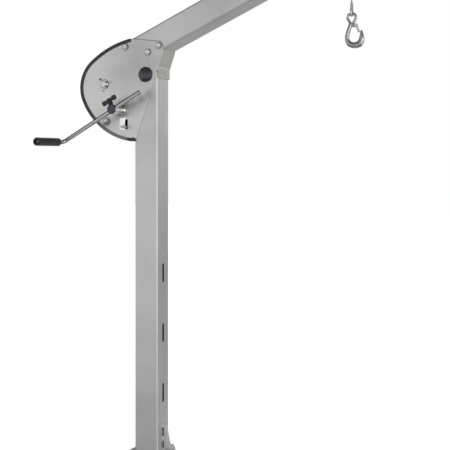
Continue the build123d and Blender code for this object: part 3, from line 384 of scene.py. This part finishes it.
# Painted reflection lines along the crank's bar, dark at its upper edge: metres across it, and their shade
barReflectionLines = {"lean": 29, "through": (-0.110, 0, 1.440),
            "steps": [(-0.008, 0.3), (-0.0055, 0.7), (-0.0012, 1.0), (0.001, 0.6), (0.0028, 0.07),
                      (0.008, 0.05)]}

# grain is how fine the brushing is along X, Y and Z, and cloud how fine the patches are
sidePlate = {"colour": (0.76, 0.76, 0.755), "rough": (0.36, 0.5), "grain": (240, 240, 240), "cloud": 9}
metals = {
    "tubeSteel": {"colour": (0.64, 0.64, 0.635), "rough": (0.34, 0.46), "grain": (700, 700, 9)},
    "armSteel": {"colour": (0.62, 0.62, 0.615), "rough": (0.3, 0.4), "grain": (9, 700, 700),
                 "turn": (0, -24, 0), "streak": 0.95, "bump": 0.1},
    "plateSteel": sidePlate,
    "crankPlateSteel": sidePlate,
    "noseSteel": {"colour": (0.53, 0.515, 0.49), "rough": (0.36, 0.5), "grain": (200, 200, 200), "cloud": 30,
                  "drift": 0.12},
    "ribSteel": {"colour": (0.82, 0.815, 0.80), "rough": (0.36, 0.48), "grain": (300, 300, 300), "cloud": 30},
    "footSteel": {"colour": (0.52, 0.52, 0.515), "rough": (0.36, 0.5), "grain": (260, 260, 260), "cloud": 12},
    "boltSteel": {"colour": (0.68, 0.68, 0.67), "rough": (0.12, 0.2), "grain": (400, 400, 400), "cloud": 60,
                  "bump": 0.1},
    "shaftSteel": {"colour": (0.62, 0.62, 0.61), "rough": (0.22, 0.34), "grain": (40, 900, 40)},
    "barSteel": {"colour": (0.80, 0.78, 0.745), "rough": (0.06, 0.1), "grain": (300, 300, 300), "cloud": 20,
                 "bump": 0.05},
    "hubSteel": {"colour": (0.82, 0.82, 0.82), "rough": (0.16, 0.22), "grain": (60, 900, 60)},
    "gearSteel": {"colour": (0.36, 0.36, 0.37), "rough": (0.3, 0.42), "grain": (400, 60, 400)},
    "hookSteel": {"colour": (0.39, 0.39, 0.395), "rough": (0.10, 0.18), "grain": (160, 160, 160), "cloud": 80,
                  "bump": 0.08, "drift": 0.1},
    "ferruleSteel": {"colour": (0.76, 0.76, 0.76), "rough": (0.3, 0.4), "grain": (300, 300, 300),
                     "cloud": 60},
    "latchSteel": {"colour": (0.68, 0.68, 0.675), "rough": (0.36, 0.44), "grain": (300, 300, 300)},
    "springSteel": {"colour": (0.55, 0.55, 0.54), "rough": (0.2, 0.3), "grain": (900, 900, 900)},
    "weldSteel": {"colour": (0.86, 0.85, 0.82), "rough": (0.18, 0.3), "grain": (900, 900, 900), "cloud": 300,
                  "drift": 0.16},
    "ropeSteel": {"colour": (0.76, 0.76, 0.76), "rough": (0.28, 0.4), "grain": (1500, 1500, 300)},
    "bronze": {"colour": (0.55, 0.36, 0.16), "rough": (0.28, 0.4), "grain": (300, 300, 300)},
    "blackScrew": {"colour": (0.42, 0.42, 0.42), "rough": (0.25, 0.4), "grain": (400, 400, 400)},
}
plastics = {
    "blackBand": {"colour": (0.010, 0.011, 0.013), "rough": (0.32, 0.42)},
    "blackCap": {"colour": (0.010, 0.011, 0.013), "rough": (0.32, 0.42)},
    "blackPlug": {"colour": (0.010, 0.011, 0.014), "rough": (0.1, 0.14), "bump": 0.05, "coat": 0.4},
    "blackGrip": {"colour": (0.006, 0.006, 0.007), "rough": (0.26, 0.36), "bump": 0.15},
    "blackKnob": {"colour": (0.006, 0.006, 0.007), "rough": (0.34, 0.46), "bump": 0.3},
    "padLining": {"colour": (0.12, 0.08, 0.05), "rough": (0.7, 0.85)},
    "washerPlastic": {"colour": (0.72, 0.71, 0.66), "rough": (0.4, 0.5)},
    "sheaveNylon": {"colour": (0.035, 0.035, 0.04), "rough": (0.3, 0.42)},
    "whiteFoil": {"colour": (0.82, 0.82, 0.80), "rough": (0.35, 0.45)},
}
touches = {
    "tubeSteel": (darkenGaps, {"axis": "Y", "start": -0.0052, "end": 0.0052}),
    "ribSteel": (darkenGaps, {"axis": "X", "start": 0.049, "end": 0.0556}),
    "armSteel": (darkenEdge, armEdgeShadow),
    "plateSteel": (darkenRound, {"spots": boltShadeSpots}),
    "crankPlateSteel": (darkenRound, {"spots": boltShadeSpots + crankShadowSpots}),
    "barSteel": (shadeAcross, barReflectionLines),
    # The nose plate is lighter above its fold
    "noseSteel": (twoTone, {"colour": (0.70, 0.685, 0.66), "axis": "Z", "none": 1.598, "full": 1.606}),
    # The hub's dark end face
    "hubSteel": (twoTone, {"colour": (0.065, 0.075, 0.095), "axis": "Y", "none": -0.1262, "full": -0.1268}),
    # Painted shade: the grip's screw and the boss screw behind the axle, down in their recesses, are darker
    # than the others
    "blackScrew": (twoTone, {"colour": (0.11, 0.11, 0.115), "axis": "X", "none": -0.196, "full": -0.198}),
    # Painted reflection: the band is lighter low down
    "blackBand": (twoTone, {"colour": (0.11, 0.12, 0.14), "axis": "Z", "none": 1.43, "full": 1.36,
                            "within": ("X", -0.078, -0.084)}),
}
nodeFinish = {
    "tubeSteel": ["mast_tube"],
    "armSteel": ["arm_tube"],
    "plateSteel": ["far_side_plate", "bearing_plates", "axle_bosses"],
    "crankPlateSteel": ["crank_side_plate"],
    "noseSteel": ["nose_plate"],
    "ribSteel": ["mast_rib"],
    "footSteel": ["base_plate", "foot_tube", "foot_flange", "foot_gussets", "swivel_flange", "keeper_ring"],
    "boltSteel": ["flange_bolts", "flange_nuts", "head_bolts", "head_nuts", "head_sleeves", "sheave_axle",
                  "sheave_spacers", "drum_axle", "crank_end_screw", "latch_pin", "pawl_stud", "crank_bushes"],
    "shaftSteel": ["pivot_post", "post_cap", "tie_tube", "crank_shaft", "drum", "pawl"],
    "barSteel": ["crank_bar"],
    "hubSteel": ["crank_hub"],
    "gearSteel": ["drum_gear", "pinion", "ratchet_wheel"],
    "hookSteel": ["hook"],
    "ferruleSteel": ["rope_ferrule", "thimble"],
    "latchSteel": ["latch"],
    "ropeSteel": ["rope_run", "hanging_rope", "rope_coil", "rope_eye", "pawl_spring"],
    "bronze": ["bearing_bushes", "drum_bushes", "sheave_bush"],
    "blackScrew": ["boss_screws", "grip_retainer"],
    "blackBand": ["cover_band"],
    "blackCap": ["arm_end_cap"],
    "blackPlug": ["tie_plugs"],
    "blackGrip": ["crank_grip"],
    "blackKnob": ["wing_screw"],
    "padLining": ["brake_pads"],
    "washerPlastic": ["thrust_washer"],
    "sheaveNylon": ["sheave"],
}
madeFinishes = {}


def finish(name):
    if name not in madeFinishes:
        material = brushedMetal(name, **metals[name]) if name in metals else plastic(name, **plastics[name])
        if name in touches:
            touch, values = touches[name]
            touch(material, **values)
        madeFinishes[name] = material
    return madeFinishes[name]


def finishNodes():
    for name, nodes in nodeFinish.items():
        for node in nodes:
            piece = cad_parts[node]
            piece.data.materials.clear()
            piece.data.materials.append(finish(name))


# Rope: six strands laid round each other
rope = {"radius": 0.0025, "strands": 6, "lay": 0.022, "groove": 0.16, "sides": 36, "step": 0.0011}
hangingRoute = [(0.8, 0, 2.019275), (0.8, 0, 1.985), (0.8, 0, 1.93), (0.8, 0, 1.875), (0.8, 0, 1.839975)]
eye = {"x": 0.8, "centre": 1.770975, "corner": 0.013947, "angles": (-7.4, -48.7, -90, -131.3, -172.6),
       "top": (0.00255, 1.816975), "legShares": (0.25, 0.6)}
lineSteps = 24                # points read from the spline between two of its control points


def routeLine(name, route):
    curve = bpy.data.curves.new(name, "CURVE")
    curve.dimensions = "3D"
    curve.resolution_u = lineSteps
    spline = curve.splines.new("NURBS")
    spline.points.add(len(route) - 1)
    for point, place in zip(spline.points, route):
        point.co = (*place, 1)
    spline.order_u = 3
    spline.use_endpoint_u = True
    holder = bpy.data.objects.new(name, curve)
    scene.collection.objects.link(holder)
    mesh = bpy.data.meshes.new_from_object(holder.evaluated_get(bpy.context.evaluated_depsgraph_get()))
    line = [Vector(v.co) for v in mesh.vertices]
    bpy.data.objects.remove(holder)
    bpy.data.meshes.remove(mesh)
    return line


# The same line with its points at even steps, and its length
def evenLine(line, step):
    spans = [(b - a).length for a, b in zip(line, line[1:])]
    total = sum(spans)
    count = max(2, round(total / step))
    points, done, index = [], 0.0, 0
    for i in range(count + 1):
        wanted = total * i / count
        while index < len(spans) - 1 and done + spans[index] < wanted:
            done += spans[index]
            index += 1
        share = (wanted - done) / spans[index] if spans[index] else 0
        points.append(line[index].lerp(line[index + 1], min(1, share)))
    return points, total


def strandedTube(name, line, look):
    points, total = evenLine(line, look["step"])
    ahead = (points[1] - points[0]).normalized()
    side = ahead.orthogonal().normalized()
    rings, faces, sides = [], [], look["sides"]
    for i, point in enumerate(points):
        after = points[min(i + 1, len(points) - 1)] - points[max(i - 1, 0)]
        turned = ahead.rotation_difference(after.normalized())
        side = turned @ side
        ahead = after.normalized()
        up = ahead.cross(side)
        twist = 2 * math.pi * total * i / (len(points) - 1) / look["lay"]
        for k in range(sides):
            angle = 2 * math.pi * k / sides
            lobe = abs(math.cos(look["strands"] * (angle - twist) / 2))
            reach = look["radius"] * (1 - look["groove"] * (1 - lobe))
            rings.append(point + reach * (math.cos(angle) * side + math.sin(angle) * up))
    last = (len(points) - 1) * sides
    for first in range(0, last, sides):
        for k in range(sides):
            after = (k + 1) % sides
            faces.append((first + k, first + after, first + sides + after, first + sides + k))
    faces.append(tuple(reversed(range(sides))))
    faces.append(tuple(range(last, last + sides)))
    piece = meshObject(name, rings, faces)
    for face in piece.data.polygons:
        face.use_smooth = len(face.vertices) == 4      # the two end faces stay flat
    return piece


def eyeRoute(look):
    corners = [(look["x"], look["corner"] * math.cos(math.radians(a)),
                look["centre"] + look["corner"] * math.sin(math.radians(a))) for a in look["angles"]]
    side, height = look["top"]
    down = []
    up = []
    for share in (0, *look["legShares"]):
        down.append(tuple(Vector((look["x"], side, height)).lerp(Vector(corners[0]), share)))
        up.append(tuple(Vector((look["x"], -side, height)).lerp(Vector(corners[-1]), share)))
    return down + corners + up[::-1]


def makeRope():
    loop = strandedTube("ropeEye", routeLine("eyeRoute", eyeRoute(eye)), rope)
    loop.data.materials.append(finish("ropeSteel"))
    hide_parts("rope_eye")
    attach(loop, "rope_end")
    line = routeLine("hangingRoute", hangingRoute)
    hanging = strandedTube("hangingRope", line, rope)
    hanging.data.materials.append(finish("ropeSteel"))
    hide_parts("hanging_rope")
    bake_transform(hanging)


# Geometry Nodes trees, and the plain mesh that one makes
def newTree(name, sizes):
    tree = bpy.data.node_groups.new(name, "GeometryNodeTree")
    tree.interface.new_socket("Geometry", in_out="INPUT", socket_type="NodeSocketGeometry")
    tree.interface.new_socket("Geometry", in_out="OUTPUT", socket_type="NodeSocketGeometry")
    for label, kind in sizes.items():
        tree.interface.new_socket(label, in_out="INPUT", socket_type="NodeSocket" + kind)
    return tree, tree.nodes.new("NodeGroupInput").outputs


def finishTree(tree, geometry, material):
    realize = addNode(tree, "GeometryNodeRealizeInstances", {"Geometry": geometry})
    smooth = addNode(tree, "GeometryNodeSetShadeSmooth", {"Geometry": realize.outputs["Geometry"]})
    paint = addNode(tree, "GeometryNodeSetMaterial", {"Geometry": smooth.outputs["Geometry"],
                                                      "Material": material})
    addNode(tree, "NodeGroupOutput", {"Geometry": paint.outputs["Geometry"]})


def nodesPiece(name, tree, values, points, edges=()):
    mesh = bpy.data.meshes.new(name + "Start")
    mesh.from_pydata([tuple(p) for p in points], list(edges), [])
    holder = placeMesh(name + "Start", mesh)
    modifier = holder.modifiers.new("shape", "NODES")
    modifier.node_group = tree
    for item in tree.interface.items_tree:
        if item.item_type == "SOCKET" and item.in_out == "INPUT" and item.name in values:
            modifier[item.identifier] = values[item.name]
    graph = bpy.context.evaluated_depsgraph_get()
    shaped = bpy.data.meshes.new_from_object(holder.evaluated_get(graph), depsgraph=graph)
    holder.modifiers.remove(modifier)
    bpy.data.objects.remove(holder)
    shaped.name = name
    return placeMesh(name, shaped)


# Coils of wire: one stands on each point of the start mesh
coilSizes = {"Turns": "Float", "Radius": "Float", "Height": "Float", "Wire radius": "Float",
             "End ring": "Float", "Steps": "Int", "Wire sides": "Int", "Turn": "Vector"}
ringSteps = 24                # sides of the ring at each end of a spring


# A ring stands past each end of the coil, for the hooks of a spring
def endRings(tree, given):
    ring = addNode(tree, "GeometryNodeCurvePrimitiveCircle", {"Resolution": ringSteps,
                                                              "Radius": given["End ring"]})
    reach = addNode(tree, "ShaderNodeMath", {0: given["Height"], 1: 0.5, 2: given["End ring"]},
                    operation="MULTIPLY_ADD")
    rings = []
    for side in (-1, 1):
        height = multiplyShares(tree, [reach.outputs[0], side])
        place = addNode(tree, "ShaderNodeCombineXYZ", {"Z": height})
        stood = addNode(tree, "GeometryNodeTransform", {
            "Geometry": ring.outputs["Curve"],
            "Translation": place.outputs["Vector"],
            "Rotation": (math.pi / 2, 0, 0),
        })
        rings.append(stood.outputs["Geometry"])
    return rings


def coilTree(name, material, ringed=False):
    tree, given = newTree(name, coilSizes)
    spiral = addNode(tree, "GeometryNodeCurveSpiral", {
        "Resolution": given["Steps"], "Rotations": given["Turns"], "Height": given["Height"],
        "Start Radius": given["Radius"], "End Radius": given["Radius"],
    })
    # The coil's middle stands on the point
    lowered = addNode(tree, "ShaderNodeCombineXYZ", {"Z": multiplyShares(tree, [given["Height"], -0.5])})
    centred = addNode(tree, "GeometryNodeTransform", {"Geometry": spiral.outputs["Curve"],
                                                      "Translation": lowered.outputs["Vector"]})
    joined = addNode(tree, "GeometryNodeJoinGeometry", {"Geometry": centred.outputs["Geometry"]})
    for ring in endRings(tree, given) if ringed else ():
        tree.links.new(ring, joined.inputs["Geometry"])
    wire = addNode(tree, "GeometryNodeCurvePrimitiveCircle", {"Resolution": given["Wire sides"],
                                                              "Radius": given["Wire radius"]})
    skin = addNode(tree, "GeometryNodeCurveToMesh", {
        "Curve": joined.outputs["Geometry"], "Profile Curve": wire.outputs["Curve"], "Fill Caps": True,
    })
    turned = addNode(tree, "GeometryNodeTransform", {"Geometry": skin.outputs["Mesh"],
                                                     "Rotation": given["Turn"]})
    spots = addNode(tree, "GeometryNodeInstanceOnPoints", {"Points": given["Geometry"],
                                                           "Instance": turned.outputs["Geometry"]})
    finishTree(tree, spots.outputs["Instances"], material)
    return tree


def middleOf(node):
    low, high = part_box(node)
    return (Vector(low) + Vector(high)) / 2


drumRope = {"Turns": 9.4, "Radius": 0.045, "Height": 0.0469, "Wire radius": 0.0025, "Steps": 64,
            "Wire sides": 12, "Turn": (math.pi / 2, 0, 0)}


def makeDrumRope():
    tree = coilTree("drumRope", finish("ropeSteel"))
    wound = nodesPiece("drumRope", tree, drumRope, [middleOf("rope_coil")])
    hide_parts("rope_coil")
    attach(wound, "drum")


pawlSpring = {"Turns": 13.0, "Radius": 0.003, "Wire radius": 0.0005, "End ring": 0.0028, "Steps": 28,
              "Wire sides": 8, "Turn": (0, 0, 0)}


def makePawlSpring():
    low, high = [Vector(corner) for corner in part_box("pawl_spring")]
    middle = (low + high) / 2
    room = 2 * (2 * pawlSpring["End ring"] + pawlSpring["Wire radius"])      # what the two end rings take
    sizes = {**pawlSpring, "Height": high.z - low.z - room}
    tree = coilTree("pawlSpring", finish("springSteel"), ringed=True)
    spring = nodesPiece("pawlSpring", tree, sizes, [middle])
    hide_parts("pawl_spring")
    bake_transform(spring)


# One small coil on each side of the hook, round the latch's pin
latchSpring = {"Turns": 2.5, "Radius": 0.0046, "Height": 0.0013, "Wire radius": 0.00045, "Steps": 28,
               "Wire sides": 8, "Turn": (math.pi / 2, 0, 0), "offPlane": 0.0053}


def makeLatchSpring():
    middle = middleOf("latch_pin")
    places = [middle + Vector((0, side * latchSpring["offPlane"], 0)) for side in (-1, 1)]
    tree = coilTree("latchSpring", finish("springSteel"))
    sprung = nodesPiece("latchSpring", tree, latchSpring, places)
    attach(sprung, "hook")


# Threads of the flange bolts, above their nuts
boltThread = {"Turns": 4.0, "Radius": 0.0078, "Height": 0.0074, "Wire radius": 0.0006, "Steps": 32,
              "Wire sides": 6, "Turn": (0, 0, 0), "boltCircle": 0.084, "level": 0.0957}


def makeThreads():
    side = boltThread["boltCircle"] * math.sqrt(0.5)
    places = [(x, y, boltThread["level"]) for x in (-side, side) for y in (-side, side)]
    tree = coilTree("boltThreads", finish("boltSteel"))
    threads = nodesPiece("boltThreads", tree, boltThread, places)
    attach(threads, "mast")


# Weld beads: overlapping drops along the edges of the start mesh
beadSizes = {"Spacing": "Float", "Drop radius": "Float", "Least size": "Float", "Seed": "Int",
             "Drop segments": "Int", "Drop rings": "Int"}
weld = {"Spacing": 0.0019, "Drop radius": 0.0026, "Least size": 0.72, "Seed": 7, "Drop segments": 10,
        "Drop rings": 6}
# Where the seams run: round the mast's foot, round the foot tube, beside the rib, under the nose plate
seams = {
    "mastHalf": 0.0503, "mastFoot": 0.0742, "round": 0.0083, "roundSteps": 5,
    "tubeRadius": 0.0553, "tubeFoot": 0.0122, "tubeSteps": 72,
    "ribSpots": ((0.0742, 0.107), (0.137, 0.154), (0.189, 0.201)), "ribHalf": 0.0042,
    "noseFoot": 1.5634, "noseOut": 0.0505, "noseInset": 0.009,
}


def beadTree(name, material):
    tree, given = newTree(name, beadSizes)
    path = addNode(tree, "GeometryNodeMeshToCurve", {"Mesh": given["Geometry"]})
    spots = addNode(tree, "GeometryNodeCurveToPoints", {"Curve": path.outputs["Curve"],
                                                        "Length": given["Spacing"]}, mode="LENGTH")
    drop = addNode(tree, "GeometryNodeMeshUVSphere", {
        "Segments": given["Drop segments"], "Rings": given["Drop rings"], "Radius": given["Drop radius"],
    })
    size = addNode(tree, "FunctionNodeRandomValue", {2: given["Least size"], 3: 1.0, "Seed": given["Seed"]},
                   data_type="FLOAT")
    placed = addNode(tree, "GeometryNodeInstanceOnPoints", {
        "Points": spots.outputs["Points"], "Instance": drop.outputs["Mesh"],
        "Rotation": spots.outputs["Rotation"], "Scale": size.outputs[1],
    })
    finishTree(tree, placed.outputs["Instances"], material)
    return tree


def squarePath(half, corner, height, steps):
    points = []
    for quarter in range(4):
        start = quarter * math.pi / 2
        across = start + math.pi / 4
        x = math.copysign(half - corner, math.cos(across))
        y = math.copysign(half - corner, math.sin(across))
        for k in range(steps + 1):
            angle = start + math.pi / 2 * k / steps
            points.append((x + corner * math.cos(angle), y + corner * math.sin(angle), height))
    return points


def circlePath(radius, height, steps):
    angles = [2 * math.pi * k / steps for k in range(steps)]
    return [(radius * math.cos(angle), radius * math.sin(angle), height) for angle in angles]


def loopEdges(points):
    return [(k, (k + 1) % len(points)) for k in range(len(points))]


def weldPaths():
    out = seams["mastHalf"]
    around = squarePath(out, seams["round"], seams["mastFoot"], seams["roundSteps"])
    ring = circlePath(seams["tubeRadius"], seams["tubeFoot"], seams["tubeSteps"])
    rib = []
    for low, high in seams["ribSpots"]:
        for side in (-seams["ribHalf"], seams["ribHalf"]):
            rib += [(out, side, low), (out, side, high)]
    half = out - seams["noseInset"]
    nose = [(seams["noseOut"], side, seams["noseFoot"]) for side in (-half, half)]
    return {
        "mastWeld": ("mast", around, loopEdges(around)),
        "footWeld": ("foot", ring, loopEdges(ring)),
        "ribWeld": ("mast", rib, [(k, k + 1) for k in range(0, len(rib), 2)]),
        "noseWeld": ("mast", nose, [(0, 1)]),
    }


def makeWelds():
    tree = beadTree("weldBeads", finish("weldSteel"))
    for name, (body, points, edges) in weldPaths().items():
        beads = nodesPiece(name, tree, weld, points, edges)
        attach(beads, body)


# Thin pieces on the side plates: an outline in X and Z, made thick along Y
def thicken(solid, outline, face, thick):
    flat = solid.faces.new([solid.verts.new((x, face, z)) for x, z in outline])
    grown = bmesh.ops.extrude_face_region(solid, geom=[flat])
    top = [v for v in grown["geom"] if isinstance(v, bmesh.types.BMVert)]
    bmesh.ops.translate(solid, verts=top, vec=(0, thick, 0))
    return top


def solidPiece(name, solid, material):
    bmesh.ops.recalc_face_normals(solid, faces=solid.faces)
    mesh = bpy.data.meshes.new(name)
    solid.to_mesh(mesh)
    solid.free()
    mesh.materials.append(material)
    return placeMesh(name, mesh)


# Black end pieces of the cover band, at the foot of each side plate
bandEnd = {
    "outline": [(-0.0705, 1.3168), (-0.0478, 1.3168), (-0.0438, 1.3262), (-0.0475, 1.3305), (-0.0600, 1.3305),
                (-0.0712, 1.3275)],
    "face": 0.054, "thick": 0.0018, "edge": 0.0007, "edgeSteps": 2,
}


def makeBandEnds():
    solid = bmesh.new()
    for side in (-1, 1):
        top = thicken(solid, bandEnd["outline"], side * bandEnd["face"], side * bandEnd["thick"])
        rim = [e for e in solid.edges if all(v in top for v in e.verts)]
        bmesh.ops.bevel(solid, geom=rim, offset=bandEnd["edge"], segments=bandEnd["edgeSteps"],
                        affect="EDGES", profile=0.5)
    ends = solidPiece("bandEnds", solid, finish("blackCap"))
    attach(ends, "mast")


# White plate beside the release slot, cut out round the slot
label = {"low": (-0.1147, 1.3627), "high": (-0.0845, 1.4086), "face": -0.054, "thick": 0.0003,
         "corner": 0.0012, "slotX": -0.0852, "slotLow": 1.36875, "slotHigh": 1.39825, "slotRound": 0.0064,
         "slotSteps": 8}


def labelOutline(look):
    (x0, z0), (x1, z1) = look["low"], look["high"]
    middle, radius, cut, steps = look["slotX"], look["slotRound"], look["corner"], look["slotSteps"]
    outline = [(x0 + cut, z0), (x0, z0 + cut), (x0, z1 - cut), (x0 + cut, z1), (x1, z1)]
    for height, start in ((look["slotHigh"], 90), (look["slotLow"], 180)):
        for k in range(steps + 1):
            angle = math.radians(start + 90 * k / steps)
            x = min(x1, middle + radius * math.cos(angle))
            z = max(z0, height + radius * math.sin(angle))
            outline.append((x, z))
    return outline


def makeLabel():
    solid = bmesh.new()
    thicken(solid, labelOutline(label), label["face"], -label["thick"])
    plate = solidPiece("labelPlate", solid, finish("whiteFoil"))
    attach(plate, "mast")


makeCamera(photoCamera)
makeStudio(studio)
print("studio and camera ready")
finishNodes()
print("finishes on the CAD nodes")
makeRope()
print("rope made")
makeDrumRope()
makePawlSpring()
makeLatchSpring()
makeThreads()
print("coils and threads made")
makeWelds()
print("welds made")
makeLabel()
makeBandEnds()
print("label and band ends made")
